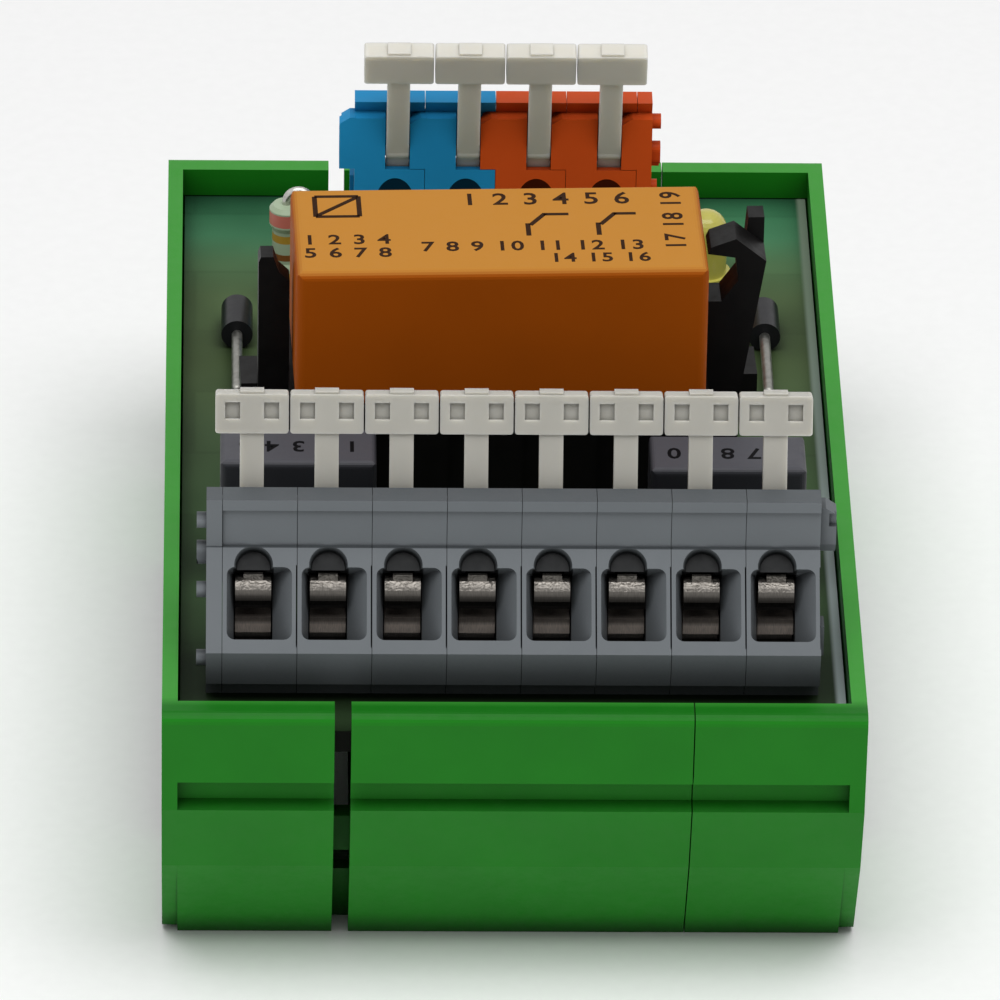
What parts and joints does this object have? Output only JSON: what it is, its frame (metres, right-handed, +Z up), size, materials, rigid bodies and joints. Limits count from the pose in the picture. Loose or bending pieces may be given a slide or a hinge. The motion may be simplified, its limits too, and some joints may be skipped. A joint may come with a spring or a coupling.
{
  "type": "relay module board",
  "caption": "Open relay module for a mounting rail: plug-in relay and small parts on a circuit board in a snap-together carrier, with lever-worked clamp terminals at both ends.",
  "frame": {"origin": "centre of the footprint, on the surface that the carrier stands on", "axes": "+X along the rail, towards the right side element; +Y across the rail, from the longer terminal row to the shorter one; +Z up, away from the rail"},
  "size_m": [0.047, 0.077, 0.0407],
  "materials": {
    "green_plastic": "satin",
    "dark_plastic": "satin",
    "board_laminate": "gloss",
    "grey_plastic": "satin",
    "orange_plastic": "satin",
    "blue_plastic": "satin",
    "lever_plastic": "satin",
    "spring_steel": "polished",
    "tinned_copper": "satin",
    "socket_plastic": "satin",
    "relay_plastic": "gloss",
    "capacitor_plastic": "satin",
    "diode_plastic": "satin",
    "yellow_lens": "gloss",
    "resistor_coating": "satin"
  },
  "bodies": {
    "module": {"left_side_element": "green_plastic", "base_element": "green_plastic", "right_side_element": "green_plastic", "left_rail_foot": "dark_plastic", "right_rail_foot": "dark_plastic", "circuit_board": "board_laminate", "grey_terminal_1": "grey_plastic", "grey_terminal_2": "grey_plastic", "grey_terminal_3": "grey_plastic", "grey_terminal_4": "grey_plastic", "grey_terminal_5": "grey_plastic", "grey_terminal_6": "grey_plastic", "grey_terminal_7": "grey_plastic", "grey_terminal_8": "grey_plastic", "grey_end_plate": "grey_plastic", "orange_terminal_1": "orange_plastic", "orange_terminal_2": "orange_plastic", "orange_end_plate": "orange_plastic", "blue_terminal_1": "blue_plastic", "blue_terminal_2": "blue_plastic", "front_clamp_springs": "spring_steel", "rear_clamp_springs": "spring_steel", "front_contact_bars": "tinned_copper", "rear_contact_bars": "tinned_copper", "socket_pins": "tinned_copper", "relay_pins": "tinned_copper", "capacitor_leads": "tinned_copper", "diode_leads": "tinned_copper", "yellow_lamp_leads": "tinned_copper", "resistor_leads": "tinned_copper", "relay_socket": "socket_plastic", "relay_base": "socket_plastic", "relay_case": "relay_plastic", "left_capacitor": "capacitor_plastic", "right_capacitor": "capacitor_plastic", "left_diode": "diode_plastic", "right_diode": "diode_plastic", "yellow_lamp": "yellow_lens", "resistor": "resistor_coating"},
    "front_lever_1": {"front_lever_1": "lever_plastic"},
    "front_lever_2": {"front_lever_2": "lever_plastic"},
    "front_lever_3": {"front_lever_3": "lever_plastic"},
    "front_lever_4": {"front_lever_4": "lever_plastic"},
    "front_lever_5": {"front_lever_5": "lever_plastic"},
    "front_lever_6": {"front_lever_6": "lever_plastic"},
    "front_lever_7": {"front_lever_7": "lever_plastic"},
    "front_lever_8": {"front_lever_8": "lever_plastic"},
    "rear_lever_1": {"rear_lever_1": "lever_plastic"},
    "rear_lever_2": {"rear_lever_2": "lever_plastic"},
    "rear_lever_3": {"rear_lever_3": "lever_plastic"},
    "rear_lever_4": {"rear_lever_4": "lever_plastic"}
  },
  "joints": [
    {"name": "front_lever_1_hinge", "type": "hinge", "parent": "module", "child": "front_lever_1", "pos_m": [-0.01758, -0.02695, 0.02905], "axis": [-1, 0, 0], "range_deg": [0, 22], "stiffness_Nm_per_rad": 0.01},
    {"name": "front_lever_2_hinge", "type": "hinge", "parent": "module", "child": "front_lever_2", "pos_m": [-0.01258, -0.02695, 0.02905], "axis": [-1, 0, 0], "range_deg": [0, 22], "stiffness_Nm_per_rad": 0.01},
    {"name": "front_lever_3_hinge", "type": "hinge", "parent": "module", "child": "front_lever_3", "pos_m": [-0.00758, -0.02695, 0.02905], "axis": [-1, 0, 0], "range_deg": [0, 22], "stiffness_Nm_per_rad": 0.01},
    {"name": "front_lever_4_hinge", "type": "hinge", "parent": "module", "child": "front_lever_4", "pos_m": [-0.00258, -0.02695, 0.02905], "axis": [-1, 0, 0], "range_deg": [0, 22], "stiffness_Nm_per_rad": 0.01},
    {"name": "front_lever_5_hinge", "type": "hinge", "parent": "module", "child": "front_lever_5", "pos_m": [0.00242, -0.02695, 0.02905], "axis": [-1, 0, 0], "range_deg": [0, 22], "stiffness_Nm_per_rad": 0.01},
    {"name": "front_lever_6_hinge", "type": "hinge", "parent": "module", "child": "front_lever_6", "pos_m": [0.00742, -0.02695, 0.02905], "axis": [-1, 0, 0], "range_deg": [0, 22], "stiffness_Nm_per_rad": 0.01},
    {"name": "front_lever_7_hinge", "type": "hinge", "parent": "module", "child": "front_lever_7", "pos_m": [0.01242, -0.02695, 0.02905], "axis": [-1, 0, 0], "range_deg": [0, 22], "stiffness_Nm_per_rad": 0.01},
    {"name": "front_lever_8_hinge", "type": "hinge", "parent": "module", "child": "front_lever_8", "pos_m": [0.01742, -0.02695, 0.02905], "axis": [-1, 0, 0], "range_deg": [0, 22], "stiffness_Nm_per_rad": 0.01},
    {"name": "rear_lever_1_hinge", "type": "hinge", "parent": "module", "child": "rear_lever_1", "pos_m": [0.00776, 0.02695, 0.02905], "axis": [1, 0, 0], "range_deg": [0, 22], "stiffness_Nm_per_rad": 0.01},
    {"name": "rear_lever_2_hinge", "type": "hinge", "parent": "module", "child": "rear_lever_2", "pos_m": [0.00276, 0.02695, 0.02905], "axis": [1, 0, 0], "range_deg": [0, 22], "stiffness_Nm_per_rad": 0.01},
    {"name": "rear_lever_3_hinge", "type": "hinge", "parent": "module", "child": "rear_lever_3", "pos_m": [-0.00224, 0.02695, 0.02905], "axis": [1, 0, 0], "range_deg": [0, 22], "stiffness_Nm_per_rad": 0.01},
    {"name": "rear_lever_4_hinge", "type": "hinge", "parent": "module", "child": "rear_lever_4", "pos_m": [-0.00724, 0.02695, 0.02905], "axis": [1, 0, 0], "range_deg": [0, 22], "stiffness_Nm_per_rad": 0.01}
  ]
}
